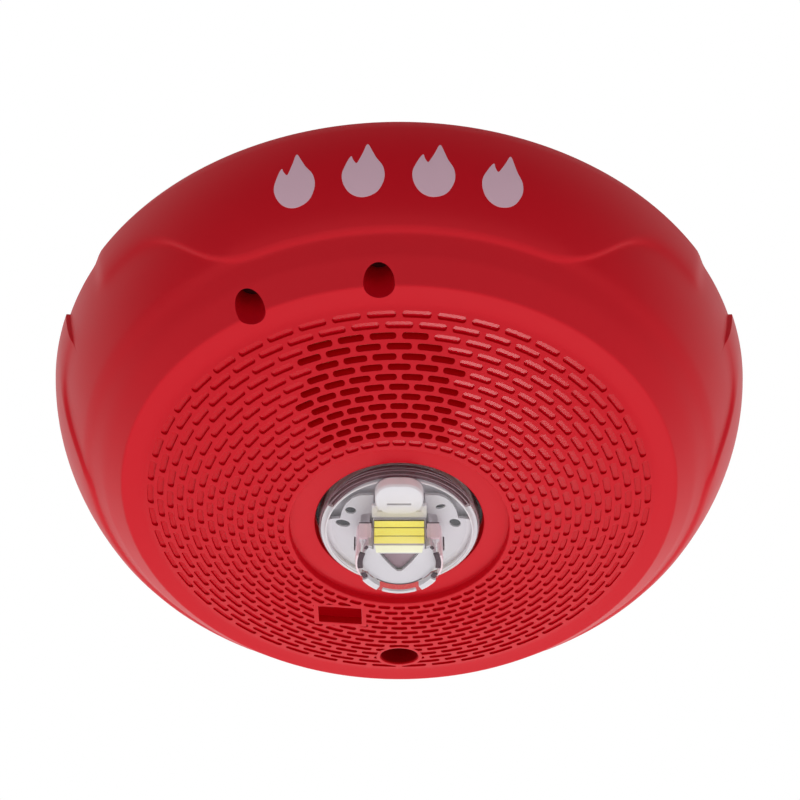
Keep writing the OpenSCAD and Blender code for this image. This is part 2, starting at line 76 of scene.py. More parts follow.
# Holes: wells as (angle, radius), window and horn as (x, y, width, depth), the horn with its corner radius
WELLS = ((266.25, 66.8), (241.0, 67.5))
WELL_R, WELL_FLOOR_H = 3.35, 22.0
CAPTIVE_Y, CAPTIVE_R = 53.6, 4.7
WINDOW = (-14.7, 32.4, 10.6, 7.2)
HORN = (-4.5, -43.75, 43.0, 33.5, 8.0)


def side_r(h):
    """Radius of the crown's side and of the cone below it."""
    if h <= SHOULDER_H:
        return RIM_R - SIDE_LEAN * h - SIDE_CURVE * h * h
    return EDGE_R + (EDGE_H - h) * CONE_SLOPE


def step_left(h):
    """Height of the crown's step, which fades out below the lobes."""
    return STEP * min(1.0, max(0.0, 1 - (h - LOBE_H) / STEP_FADE))


def base_r(h):
    """Radius of the side where the crown doesn't stand."""
    return side_r(h) - step_left(h)


def inner_r(h):
    return base_r(h) - WALL * (1 + 0.4 * min(1.0, h / SHOULDER_H))


def face_h(r):
    """Depth of the domed face."""
    return DOME_TOP_H - DOME_CURVE * r * r


def clamped(value):
    return max(0.0, min(1.0, value))


# ---- Mesh helpers: everything is built in millimetres, then scaled ----

def mesh_object(name, verts, faces):
    me = bpy.data.meshes.new(name)
    me.from_pydata([tuple(v) for v in verts], [], [tuple(f) for f in faces])
    me.update()
    ob = bpy.data.objects.new(name, me)
    bpy.context.scene.collection.objects.link(ob)
    return ob


def fix_normals(ob):
    bm = bmesh.new()
    bm.from_mesh(ob.data)
    bmesh.ops.recalc_face_normals(bm, faces=bm.faces)
    bm.to_mesh(ob.data)
    bm.free()
    return ob


def loops_solid(loops, strip_caps=False):
    """Points and faces of a closed solid from rings of equal point counts."""
    verts, faces, n = [], [], len(loops[0])
    for loop in loops:
        verts += loop
    for a in range(len(loops) - 1):
        for i in range(n):
            j = (i + 1) % n
            faces.append((a * n + i, a * n + j, (a + 1) * n + j, (a + 1) * n + i))
    for at in (0, (len(loops) - 1) * n):
        if strip_caps:
            for i in range(n // 2 - 1):
                faces.append((at + i, at + i + 1, at + n - 2 - i, at + n - 1 - i))
        else:
            faces.append([at + i for i in range(n)])
    return verts, faces


def solid(name, loops):
    return fix_normals(mesh_object(name, *loops_solid(loops)))


def circle(r, h, x=0.0, y=0.0, n=96):
    turns = (2 * math.pi * i / n for i in range(n))
    return [(x + r * math.cos(a), y + r * math.sin(a), -h) for a in turns]


def cylinder(name, r, h0, h1, x=0.0, y=0.0, n=96, top_r=None):
    return solid(name, [circle(r, h0, x, y, n), circle(r if top_r is None else top_r, h1, x, y, n)])


def prism(name, outline, h0, h1):
    return solid(name, [[(x, y, -h0) for x, y in outline], [(x, y, -h1) for x, y in outline]])


def box_solid(name, x0, x1, y0, y1, h0, h1):
    return prism(name, [(x0, y0), (x1, y0), (x1, y1), (x0, y1)], h0, h1)


def revolve(name, profile, n=192):
    """A closed profile of (r, h) points turned about the axis; points at r = 0 become poles."""
    verts, index = [], []
    for r, h in profile:
        if r < 1e-9:
            index.append([len(verts)] * n)
            verts.append((0, 0, -h))
        else:
            index.append(list(range(len(verts), len(verts) + n)))
            verts += circle(r, h, n=n)
    faces = []
    count = len(profile)
    for a in range(count):
        b = (a + 1) % count
        for i in range(n):
            j = (i + 1) % n
            f = []
            for v in (index[a][i], index[a][j], index[b][j], index[b][i]):
                if v not in f:
                    f.append(v)
            if len(f) > 2:
                faces.append(f)
    return fix_normals(mesh_object(name, verts, faces))


def rounded_rect(cx, cy, w, d, r, steps=8):
    """Outline of a rectangle of width w and depth d with its corners rounded."""
    pts = []
    for sx, sy, a0 in ((1, 1, 0), (-1, 1, 90), (-1, -1, 180), (1, -1, 270)):
        x, y = cx + sx * (w / 2 - r), cy + sy * (d / 2 - r)
        for i in range(steps + 1):
            a = math.radians(a0 + 90 * i / steps)
            pts.append((x + r * math.cos(a), y + r * math.sin(a)))
    return pts


def combine(ob, others, operation):
    """Boolean with one or more closed solids, which are used up."""
    for other in others:
        mod = ob.modifiers.new("join", "BOOLEAN")
        mod.operation = operation
        mod.solver = "MANIFOLD"
        mod.object = other
        deps = bpy.context.evaluated_depsgraph_get()
        me = bpy.data.meshes.new_from_object(ob.evaluated_get(deps), depsgraph=deps)
        ob.modifiers.remove(mod)
        old = ob.data
        ob.data = me
        bpy.data.meshes.remove(old)
        used = other.data
        bpy.data.objects.remove(other)
        bpy.data.meshes.remove(used)
    return ob


def cut(ob, *others):
    return combine(ob, others, "DIFFERENCE")


def weld(ob, *others):
    return combine(ob, others, "UNION")


def drop_empty_faces(ob):
    """Takes out faces without area left by the booleans, and cuts the others into triangles."""
    bm = bmesh.new()
    bm.from_mesh(ob.data)
    bmesh.ops.dissolve_degenerate(bm, dist=1e-4, edges=bm.edges)
    bmesh.ops.triangulate(bm, faces=bm.faces)
    bm.to_mesh(ob.data)
    bm.free()
    return ob


def to_metres(ob):
    ob.data.transform(Matrix.Scale(MM, 4))
    ob.data.update()
    return ob


def smooth(ob, angle=30.0):
    for p in ob.data.polygons:
        p.use_smooth = True
    ob.data.set_sharp_from_angle(angle=math.radians(angle))
    return ob


def finish_piece(ob, body, look, replaces=(), angle=30.0):
    """Scales a piece, shades it, gives it its look and tells the frame where it belongs."""
    to_metres(ob)
    smooth(ob, angle)
    ob.data.materials.clear()
    ob.data.materials.append(look)
    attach(ob, body)
    for node in replaces:
        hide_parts(node)
    return ob


# ---- Materials ----

MOTTLE_SCALE = 60.0
GRAIN_DEPTH = 0.0001
BODY_WHITE = (0.85, 0.84, 0.86, 1)
GLOSS_FACING, GLOSS_GRAZING = 0.006, 0.4


def srgb(r, g, b):
    """A colour from its 0 to 255 values, as the linear values that shaders take."""
    def one(c):
        c /= 255.0
        return c / 12.92 if c <= 0.04045 else ((c + 0.055) / 1.055) ** 2.4
    return one(r), one(g), one(b), 1.0


def material(name, color, rough=0.4, metallic=0.0, specular=0.5, grain=0.0, grain_size=900.0,
             rough_var=0.05, color_var=0.03, emission=None, strength=0.0):
    """A surface with a faint mottle in its colour and roughness, on request a fine moulded grain, and on
    request a glow that paints light onto a part that is no lamp.
    """
    m = bpy.data.materials.new(name)
    m.use_nodes = True
    nt = m.node_tree
    bsdf = nt.nodes["Principled BSDF"]
    bsdf.inputs["Metallic"].default_value = metallic
    bsdf.inputs["Specular IOR Level"].default_value = specular
    coords = nt.nodes.new("ShaderNodeTexCoord")
    mottle = nt.nodes.new("ShaderNodeTexNoise")
    mottle.inputs["Scale"].default_value = MOTTLE_SCALE
    mottle.inputs["Detail"].default_value = 4.0
    nt.links.new(coords.outputs["Object"], mottle.inputs["Vector"])
    mix = nt.nodes.new("ShaderNodeMix")
    mix.data_type = "RGBA"
    dark = [c * (1 - color_var) for c in color[:3]] + [1.0]
    light = [min(1.0, c * (1 + color_var)) for c in color[:3]] + [1.0]
    mix.inputs[6].default_value = dark
    mix.inputs[7].default_value = light
    nt.links.new(mottle.outputs["Fac"], mix.inputs[0])
    nt.links.new(mix.outputs[2], bsdf.inputs["Base Color"])
    span = nt.nodes.new("ShaderNodeMapRange")
    span.inputs["To Min"].default_value = max(0.02, rough - rough_var)
    span.inputs["To Max"].default_value = min(1.0, rough + rough_var)
    nt.links.new(mottle.outputs["Fac"], span.inputs["Value"])
    nt.links.new(span.outputs["Result"], bsdf.inputs["Roughness"])
    if grain:
        fine = nt.nodes.new("ShaderNodeTexNoise")
        fine.inputs["Scale"].default_value = grain_size
        fine.inputs["Detail"].default_value = 3.0
        nt.links.new(coords.outputs["Object"], fine.inputs["Vector"])
        bump = nt.nodes.new("ShaderNodeBump")
        bump.inputs["Strength"].default_value = grain
        bump.inputs["Distance"].default_value = GRAIN_DEPTH
        nt.links.new(fine.outputs["Fac"], bump.inputs["Height"])
        nt.links.new(bump.outputs["Normal"], bsdf.inputs["Normal"])
    if emission:
        bsdf.inputs["Emission Color"].default_value = emission
        bsdf.inputs["Emission Strength"].default_value = strength
    return m


def clear_material(name, tint, gloss_rough=0.2, body=0.05):
    """Clear moulded plastic: mostly see-through, a little milky, with gloss that grows toward its edges."""
    m = bpy.data.materials.new(name)
    m.use_nodes = True
    nt = m.node_tree
    nt.nodes.remove(nt.nodes["Principled BSDF"])
    out = nt.nodes["Material Output"]
    through = nt.nodes.new("ShaderNodeBsdfTransparent")
    through.inputs["Color"].default_value = tint
    milky = nt.nodes.new("ShaderNodeBsdfDiffuse")
    milky.inputs["Color"].default_value = BODY_WHITE
    gloss = nt.nodes.new("ShaderNodeBsdfGlossy")
    gloss.inputs["Color"].default_value = (1, 1, 1, 1)
    gloss.inputs["Roughness"].default_value = gloss_rough
    facing = nt.nodes.new("ShaderNodeLayerWeight")
    facing.inputs["Blend"].default_value = 0.5
    curve = nt.nodes.new("ShaderNodeMath")
    curve.operation = "POWER"
    curve.inputs[1].default_value = 4.0
    nt.links.new(facing.outputs["Facing"], curve.inputs[0])
    weight = nt.nodes.new("ShaderNodeMapRange")
    weight.inputs["To Min"].default_value = GLOSS_FACING
    weight.inputs["To Max"].default_value = GLOSS_GRAZING
    nt.links.new(curve.outputs[0], weight.inputs["Value"])
    first = nt.nodes.new("ShaderNodeMixShader")
    first.inputs["Fac"].default_value = body
    nt.links.new(through.outputs[0], first.inputs[1])
    nt.links.new(milky.outputs[0], first.inputs[2])
    second = nt.nodes.new("ShaderNodeMixShader")
    nt.links.new(weight.outputs[0], second.inputs["Fac"])
    nt.links.new(first.outputs[0], second.inputs[1])
    nt.links.new(gloss.outputs[0], second.inputs[2])
    nt.links.new(second.outputs[0], out.inputs["Surface"])
    return m


RED = material("cover_red", (0.68, 0.002, 0.013, 1), rough=0.44, specular=0.24,
               grain=0.12, grain_size=2200, color_var=0.02)
# Walls and deep floors of the recesses: darker red as painted shade, with a faint red glow as painted bounce
# light
RECESS_SHADE_RED = material("cover_red_recess_shade", (0.34, 0.0, 0.004, 1), rough=0.6, specular=0.08,
                    emission=(1.0, 0.0, 0.0, 1), strength=0.085)
# Inside the captive screw hole: darker red as painted shade, with a fainter red glow
CAPTIVE_BORE_SHADE_RED = material("cover_red_bore_shade", (0.26, 0.0, 0.003, 1), rough=0.6, specular=0.05,
                    emission=(1.0, 0.0, 0.0, 1), strength=0.02)
FLOOR_RED = material("cover_red_pocket", (0.66, 0.003, 0.013, 1), rough=0.2, rough_var=0.0, specular=0.2)
# The slider glows red: painted light, so that it shows in the shaded window
GLOWING_SLIDER_RED = material("slider_red", (0.55, 0.004, 0.01, 1), rough=0.5, specular=0.1,
                      emission=(1.0, 0.0, 0.01, 1), strength=0.17)
# The horn housing: dark red with a faint red glow as painted light, seen through the cut bricks
GLOWING_HORN_RED = material("horn_red", (0.30, 0.0, 0.004, 1), rough=0.7, specular=0.05,
                    emission=(1.0, 0.0, 0.0, 1), strength=0.11)
BLACK = material("plate_black", (0.018, 0.018, 0.02, 1), rough=0.5, grain=0.3, grain_size=1500)
NYLON = material("terminal_nylon", srgb(205, 200, 182), rough=0.45)
STEEL = material("screw_steel", (0.56, 0.55, 0.53, 1), rough=0.3, metallic=1.0, rough_var=0.1)
# Dark screws, tinted red as painted red bounce light from the cover
DARK_SCREW_RED_BOUNCE = material("dark_screw", (0.07, 0.012, 0.014, 1), rough=0.6, metallic=0.2, specular=0.1,
                      rough_var=0.1)
BRASS = material("contact_brass", (0.65, 0.42, 0.15, 1), rough=0.28, metallic=1.0)
SPRING = material("spring_steel", (0.5, 0.5, 0.5, 1), rough=0.25, metallic=1.0)
BOARD = material("board_green", (0.012, 0.11, 0.045, 1), rough=0.35, color_var=0.15)
SLEEVE = material("capacitor_sleeve", (0.02, 0.022, 0.035, 1), rough=0.3)
FERRITE = material("ferrite", (0.045, 0.045, 0.05, 1), rough=0.6, grain=0.4)
CHIP = material("chip_epoxy", (0.025, 0.025, 0.027, 1), rough=0.45, grain=0.3)
SWITCH = material("switch_white", srgb(226, 224, 216), rough=0.4)
ROTOR = material("rotor_orange", (0.72, 0.16, 0.02, 1), rough=0.4)
FOAM = material("foam_black", (0.02, 0.02, 0.02, 1), rough=0.95, grain=0.6, grain_size=2500)
CERAMIC = material("ceramic", srgb(206, 202, 190), rough=0.5)
LED_BOARD = material("led_board_white", srgb(214, 214, 212), rough=0.35)
# Yellow strips that glow: painted light that lifts them behind the clear lens
GLOWING_YELLOW = material("led_yellow", (0.88, 0.80, 0.13, 1), rough=0.45,
                  emission=(1.0, 0.88, 0.14, 1), strength=0.5)
WHITE = material("reflector_white", srgb(232, 228, 230), rough=0.3)
SINK = material("sink_aluminium", (0.6, 0.6, 0.61, 1), rough=0.38, metallic=1.0)
CLEAR = clear_material("clear_lens", (0.98, 0.98, 0.985, 1))
MILKY = material("milky_white", srgb(234, 229, 233), rough=0.4, specular=0.3)
# White that glows faintly: painted light that lifts the block and shelf behind the clear lens
GLOWING_BLOCK_WHITE = material("block_white_glow", srgb(236, 232, 236), rough=0.6, specular=0.15,
                       emission=(1.0, 0.97, 1.0, 1), strength=0.12)
# Rose white that glows: painted light on the side panes and the tower's edges
GLOWING_ROSE = material("rose_white_glow", srgb(242, 216, 222), rough=0.3,
                emission=(0.9, 0.66, 0.72, 1), strength=0.18)
# Dark rose: painted shade in the optic cap's hollow
VALLEY_SHADE = material("valley_shade_rose", srgb(140, 100, 114), rough=0.35)
# Dark purple red behind the drum's side: painted shade of the interior with a painted red reflection of the
# cover
LINER_SHADE = material("liner_shade_grey", srgb(112, 66, 78), rough=0.5, specular=0.2)
LINE = material("line_grey", srgb(150, 116, 126), rough=0.3)
SHADE = material("shade_grey", srgb(206, 198, 205), rough=0.4)
# Dark purple: painted shade in slits, at a slot's bottom and along edges inside the lens
SLIT_SHADE = material("slit_shade_purple", srgb(70, 44, 56), rough=0.5, specular=0.2)
# Dark grey: painted shade in the wings' slots
WING_SLOT_SHADE = material("wing_slot_shade_grey", srgb(46, 46, 52), rough=0.5, specular=0.2)
# Pale yellow white that glows faintly: painted light on the ledge
GLOWING_PALE = material("pale_ledge_glow", srgb(252, 250, 214), rough=0.5, specular=0.1,
                emission=(1.0, 0.98, 0.8, 1), strength=0.06)
DARK_LINE = material("band_gap", srgb(92, 86, 40), rough=0.5)
# White print, tinted pink as painted red bounce light from the cover
MARK_RED_BOUNCE = material("mark_white_red_bounce", srgb(242, 200, 217), rough=0.5)

NODE_MATERIALS = {
    "mounting_plate": BLACK, "terminal_block": NYLON, "terminal_screws": STEEL, "wire_clamps": STEEL,
    "spring_contacts": BRASS, "shorting_spring": SPRING, "rear_housing": BLACK, "cover_screws": DARK_SCREW_RED_BOUNCE,
    "circuit_board": BOARD, "board_screws": STEEL, "contact_blades": BRASS, "storage_capacitor": SLEEVE,
    "inductor": FERRITE, "integrated_circuits": CHIP, "tone_switch": SWITCH, "tone_rotor": ROTOR,
    "level_switch": SWITCH, "level_slider": GLOWING_SLIDER_RED, "horn_housing": GLOWING_HORN_RED, "horn_gasket": FOAM,
    "diaphragm_disc": BRASS, "ceramic_element": CERAMIC, "lens_gasket": FOAM, "lens_retainer": BLACK,
    "retainer_screws": STEEL, "led_board": LED_BOARD, "led_strips": GLOWING_YELLOW, "led_header": BRASS,
    "reflector": WHITE, "heat_sink": SINK, "mounting_screw": DARK_SCREW_RED_BOUNCE, "screw_retainer": FOAM,
    "front_cover": RED, "strobe_lens": CLEAR, "inner_optic": CLEAR,
}
for node, look in NODE_MATERIALS.items():
    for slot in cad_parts[node].material_slots:
        slot.material = look


# ---- Cover ----

def crown_share(deg):
    """How much of the crown's step stands at an angle: none inside the two notches."""
    share = 1.0
    for crisp, soft in NOTCHES:
        if min(crisp, soft) - 3 < deg < max(crisp, soft) + 3:
            way = 1 if crisp < soft else -1
            at_crisp = way * (deg - crisp) / CRISP_EDGE
            at_soft = way * (soft - deg) / SOFT_EDGE
            inside = min(clamped(at_crisp + 0.5), clamped(at_soft + 0.5))
            share = min(share, 1 - inside * inside * (3 - 2 * inside))
    return share


def lobe_edge(x):
    """Depth of a lobe's lower edge at a distance from its middle, averaged to round off its corners."""
    total = 0.0
    for shift in LOBE_ROUNDING:
        drop = clamped((abs(x + shift) - LOBE_FLAT) / LOBE_FALL)
        total += LOBE_H - (LOBE_H - BAND_H) * (1 - math.cos(math.pi * drop)) / 2
    return total / len(LOBE_ROUNDING)


def crown_edge(deg):
    """Depth of the crown's lower edge at an angle."""
    best = BAND_H
    for centre in LOBE_CENTRES:
        off = (deg - centre + 180) % 360 - 180
        if abs(off) > 60:
            continue
        h = 17.0
        for _ in range(12):
            h = 0.5 * h + 0.5 * lobe_edge(side_r(h) * math.sin(math.radians(off)))
        best = max(best, h)
    return best


def cover_columns():
    """Angles of the skin's columns, closer together at the crisp ends of the notches."""
    degs = {i * COLUMN_STEP for i in range(round(360 / COLUMN_STEP))}
    for crisp, _ in NOTCHES:
        degs |= {round(crisp + d, 4) for d in (-0.16, -0.11, -0.055, 0.055, 0.11, 0.16)}
    return sorted(degs)


def corner(p, q, s, size, steps=4):
    """A rounded corner at q between p and s."""
    def toward(a, b):
        d = math.hypot(b[0] - a[0], b[1] - a[1])
        return (a[0] + (b[0] - a[0]) * size / d, a[1] + (b[1] - a[1]) * size / d)
    a, b = toward(q, p), toward(q, s)
    pts = []
    for i in range(steps + 1):
        t = i / steps
        pts.append(tuple((1 - t) ** 2 * a[k] + 2 * t * (1 - t) * q[k] + t * t * b[k] for k in (0, 1)))
    return pts


def cover_outer():
    """The cover's outer skin as a solid: side with the three-lobed crown, cone, smooth ring and dome."""
    # From the cone's end inward, the same at every angle
    tail = corner((side_r(30), 30), (EDGE_R, EDGE_H), (RING_IN_R, face_h(RING_IN_R)), 0.4)
    above = tail[0][1] - 0.12
    tail.insert(0, (side_r(above), above))
    ring_slope = (face_h(RING_IN_R) - EDGE_H) / (EDGE_R - RING_IN_R)
    ring = [(r, EDGE_H + ring_slope * (EDGE_R - r)) for r in (tail[-1][0] - 0.2, 63.9, 62.0)]
    dome = [(r, face_h(r)) for r in (61.2, 60.7, *np.arange(ROW_R, 26.7, -PITCH))]
    inner = corner((30, face_h(30)), (SEAT_R + 0.05, face_h(SEAT_R)), (SEAT_R, 42), 0.35, 3)
    seat = [(SEAT_R, SEAT_H + 0.35), (SEAT_R - 0.1, SEAT_H + 0.08), (SEAT_R - 0.4, SEAT_H),
            (OPENING_R + 0.8, SEAT_H), (OPENING_R - 2, SEAT_H), (0, SEAT_H)]
    rest = tail + ring + dome + inner + seat

    # Above it the crown, whose step comes down in rows of (depth from the edge, part of the step left);
    # it is crisp along the lobes' ends and softer on their flanks
    step_rows = ((-1.2, 1.0), (-0.75, 0.97), (-0.4, 0.87), (-0.12, 0.7), (0.06, 0.48), (0.2, 0.24),
                 (0.45, 0.06), (0.8, 0.0))
    rim_h = 0.65
    columns = cover_columns()
    profiles = []
    for deg in columns:
        edge, share = crown_edge(deg), crown_share(deg)
        drop = (LOBE_H - edge) / (LOBE_H - BAND_H)
        soft = 0.6 + 0.9 * drop + 3.5 * max(0.0, (drop - 0.6) / 0.4) ** 2
        back = STEP * (1 - share)
        rows = [(side_r(RIM_H) - 0.35 - back, RIM_H), (side_r(RIM_H) - 0.1 - back, RIM_H + 0.08),
                (side_r(0.6) - back, rim_h)]
        first = edge + step_rows[0][0] * soft
        for i in range(1, 12):
            h = rim_h + (first - rim_h) * i / 12
            rows.append((base_r(h) + step_left(h) * share, h))
        for dh, part in step_rows:
            h = edge + dh * soft
            rows.append((base_r(h) + step_left(min(h, LOBE_H)) * share * part, h))
        last = edge + step_rows[-1][0] * soft
        for i in range(1, 15):
            h = last + (tail[0][1] - last) * i / 15
            rows.append((base_r(h), h))
        profiles.append(rows + rest)

    n, verts, faces = len(columns), [], []
    count = len(profiles[0])
    for k in range(count - 1):
        for deg, rows in zip(columns, profiles):
            r, h = rows[k]
            a = math.radians(deg)
            verts.append((r * math.cos(a), r * math.sin(a), -h))
    for k in range(count - 2):
        for i in range(n):
            j = (i + 1) % n
            faces.append((k * n + i, k * n + j, (k + 1) * n + j, (k + 1) * n + i))
    tip, back = len(verts), len(verts) + 1
    verts += [(0, 0, -SEAT_H), (0, 0, -RIM_H)]
    for i in range(n):
        j = (i + 1) % n
        faces.append(((count - 2) * n + i, (count - 2) * n + j, tip))
        faces.append((j, i, back))
    return fix_normals(mesh_object("cover", verts, faces))


def brick_outline(row_r, centre, offset):
    """Points along the outer side and back along the inner side of one brick, with rounded corners."""
    half = math.radians(BRICK_SPAN / 2)
    out, inn = row_r + BRICK_W / 2 + offset, row_r - BRICK_W / 2 - offset
    pts = []
    for r, sign in ((out, 1), (inn, -1)):
        ends = half + offset / row_r
        dr, da = BRICK_CORNER * sign, BRICK_CORNER / row_r
        side = [(r - dr, -ends), (r - dr * 0.3, -ends + da * 0.3), (r, -ends + da)]
        side += [(r, (-ends + da) * t) for t in (0.5, 0, -0.5)]
        side += [(r, ends - da), (r - dr * 0.3, ends - da * 0.3), (r - dr, ends)]
        pts += side if sign > 0 else side[::-1]
    return [(r * math.cos(centre + a), r * math.sin(centre + a), r) for r, a in pts]


def is_through(row, off):
    """Whether a brick is cut through: those in a patch over the horn, off its middle angle."""
    low = -24 if row <= 6 else -30.5
    return 3 <= row <= 13 and low < off < min(20.0, 6.5 + 3 * (row - 3))


def brick_cutter():
    """All bricks as closed solids: a rounded mouth, then down to the pocket's floor or through the face."""
    verts, faces = [], []
    for row in range(1, BRICK_ROWS + 1):
        rr = ROW_R - (row - 1) * PITCH
        shift = BRICK_STEP / 2 if row % 2 else 0.0
        for i in range(round(360 / BRICK_STEP)):
            off = (i * BRICK_STEP + shift + 180) % 360 - 180
            centre = math.radians(270 + off)
            loops = []
            for depth, offset in BRICK_LEVELS:
                loops.append([(x, y, -(face_h(r) - depth)) for x, y, r in brick_outline(rr, centre, offset)])
            end_h = THROUGH_H
            if not is_through(row, off):
                end_h = face_h(rr) - POCKET[0] - POCKET[1] * math.sin(centre)
            loops.append([(x, y, -end_h) for x, y, r in brick_outline(rr, centre, 0.0)])
            v, f = loops_solid(loops, strip_caps=True)
            faces += [[k + len(verts) for k in face] for face in f]
            verts += v
    return fix_normals(mesh_object("bricks", verts, faces))


def at_well(angle, r):
    a = math.radians(angle)
    return r * math.cos(a), r * math.sin(a)


def rim_loops(outline, rows):
    """Loops that widen toward the face and follow it: outline(dr) gives the points, rows the (dr, dh)."""
    return [[(x, y, -(face_h(math.hypot(x, y)) + dh)) for x, y in outline(dr)] for dr, dh in rows]


def build_cover():
    """The cut cover, and its uncut skin as a search tree and as a mesh."""
    cover = cover_outer()
    skin = BVHTree.FromObject(cover, bpy.context.evaluated_depsgraph_get())
    skin_mesh = cover.data.copy()

    # The hollow, less the bosses that stand in it
    ring_in = SEAT_R - SEAT_WALL
    hollow_profile = [(0, SEAT_IN_H - 2), (ring_in, SEAT_IN_H - 2), (ring_in, SEAT_IN_H),
                      (SEAT_R + 2, SEAT_IN_H)]
    hollow_profile += [(r, face_h(r) - WALL) for r in range(31, 62, 5)]
    hollow_profile += [(inner_r(EDGE_H - WALL), EDGE_H - WALL)]
    hollow_profile += [(inner_r(h), h) for h in (30, 28, 26, 24, 20, 16, 12, 8, 4, 0.3)]
    hollow_profile += [(inner_r(0.3), -2), (0, -2)]
    hollow = revolve("hollow", hollow_profile, 240)
    for well in WELLS:
        cut(hollow, cylinder("boss", 5.0, 20, 40, *at_well(*well), 64))
    cut(hollow, cylinder("boss", 6.4, 20, 50, 0, CAPTIVE_Y, 64))
    wall = prism("wall", rounded_rect(*HORN), 31, 50)
    inside = list(HORN)
    inside[2], inside[3], inside[4] = HORN[2] - 2.8, HORN[3] - 2.8, HORN[4] - 1.4
    cut(wall, prism("inside", rounded_rect(*inside), 30, 51))
    cut(hollow, wall)
    ring = cylinder("ring", SEAT_R, 37, 45, n=192)
    cut(ring, cylinder("hole", ring_in, 30, 50, n=192))
    cut(hollow, ring)
    for x in (-15, 15):
        cut(hollow, box_solid("rib", x - 7, x + 7, -90, -75, 3.7, 5.7))
    cut(cover, hollow)

    # Lens opening with a small round at its edge
    opening_rows = ((0, 30), (0, SEAT_H - 0.3), (0.09, SEAT_H - 0.09), (0.3, SEAT_H), (0.6, SEAT_H + 0.4))
    cut(cover, solid("opening", [circle(OPENING_R + dr, h, n=192) for dr, h in opening_rows]))

    # Bricks, clipped by the smooth frames of the window and the screw hole
    bricks = brick_cutter()
    wx, wy, ww, wd = WINDOW
    half_x, half_y = ww / 2 + 1.2, wd / 2 + 1.1
    cut(bricks, box_solid("pad", wx - half_x, wx + half_x, wy - half_y, wy + half_y, 30, 50))
    cut(bricks, cylinder("pad", CAPTIVE_R + 1.2, 30, 50, 0, CAPTIVE_Y, 64))
    cut(cover, bricks)

    # Screw wells
    for well in WELLS:
        cut(cover, cylinder("well", WELL_R, WELL_FLOOR_H, 40, *at_well(*well), 64, top_r=WELL_R + 0.15))
        cut(cover, cylinder("hole", 1.8, 18, WELL_FLOOR_H + 1, *at_well(*well), 32))

    # Captive screw hole with a rounded rim
    rim = rim_loops(lambda dr: [p[:2] for p in circle(CAPTIVE_R + dr, 0, 0, CAPTIVE_Y, 64)],
                    ((0.0, -0.7), (0.1, -0.35), (0.3, -0.1), (0.62, 0.0), (1.1, 0.15)))
    cut(cover, solid("hole", [circle(CAPTIVE_R, 22, 0, CAPTIVE_Y, 64)] + rim))
    cut(cover, cylinder("hole", 2.4, 15, 23, 0, CAPTIVE_Y, 48))

    # Setting window
    def window(dr):
        return rounded_rect(wx, wy, ww + 2 * dr, wd + 2 * dr, 0.25 + dr, 3)
    rim = rim_loops(window, ((0.0, -0.25), (0.07, -0.07), (0.25, 0.0), (0.5, 0.2)))
    cut(cover, solid("hole", [[(x, y, -33.0) for x, y in window(0)]] + rim))
    return drop_empty_faces(cover), skin, skin_mesh


def vectors(items, field, count):
    """A mesh's vectors as rows of an array."""
    out = np.zeros(count * 3, np.float32)
    items.foreach_get(field, out)
    return out.reshape(-1, 3)


def skin_normals(ob, skin, skin_mesh):
    """Smooth shading from the uncut skin wherever the cut cover follows it; returns the points on it."""
    me = ob.data
    smooth(ob)
    for p in skin_mesh.polygons:
        p.use_smooth = True
    skin_mesh.set_sharp_from_angle(angle=math.radians(40))
    corner_n = vectors(skin_mesh.corner_normals, "vector", len(skin_mesh.loops))
    vert_co = np.array([v.co for v in skin_mesh.vertices])
    polys = [(p.loop_start, p.loop_total, list(p.vertices)) for p in skin_mesh.polygons]
    own = vectors(me.corner_normals, "vector", len(me.loops))
    face_n = vectors(me.polygons, "normal", len(me.polygons))
    found = {}
    for v in me.vertices:
        hit = skin.find_nearest(v.co, 0.02)
        if hit[0] is not None:
            start, total, ids = polys[hit[2]]
            w = 1.0 / (np.linalg.norm(vert_co[ids] - np.array(v.co), axis=1) + 1e-4)
            n = (corner_n[start:start + total] * w[:, None]).sum(0)
            found[v.index] = n / np.linalg.norm(n)
    for p in me.polygons:
        if all(v in found for v in p.vertices):
            for li in p.loop_indices:
                n = found[me.loops[li].vertex_index]
                if float(np.dot(n, face_n[p.index])) > 0.9:
                    own[li] = n
    me.normals_split_custom_set(own.tolist())
    return found


def cover_looks(me, skin, on_skin):
    """For each face of the cover, the place of its look in COVER_LOOKS: glossier pocket floors, and darker
    red as painted shade on the walls and deep floors of the recesses and in the screw hole.
    """
    indices = []
    for p in me.polygons:
        c = p.center
        r = math.hypot(c.x, c.y)
        kept = all(v in on_skin for v in p.vertices) and -c.z > 30 and p.normal.z < -0.8
        look = RED
        if not kept and r <= 62.5 and -c.z >= 21:
            away = (skin.find_nearest(c, 30.0)[0] - c).length
            if p.normal.z < -0.99 and 0.2 < away < 1.2 and 26.5 < r < 61:
                look = FLOOR_RED
            # Walls and deep floors of the recesses get darker red as painted shade, the screw hole darker
            # still
            elif abs(p.normal.z) < 0.75 and away > 0.12 or p.normal.z < -0.9 and away > 4:
                in_hole = math.hypot(c.x, c.y - CAPTIVE_Y) < CAPTIVE_R + 0.05
                look = CAPTIVE_BORE_SHADE_RED if in_hole else RECESS_SHADE_RED
        indices.append(COVER_LOOKS.index(look))
    return indices


COVER_LOOKS = [RED, RECESS_SHADE_RED, FLOOR_RED, CAPTIVE_BORE_SHADE_RED]

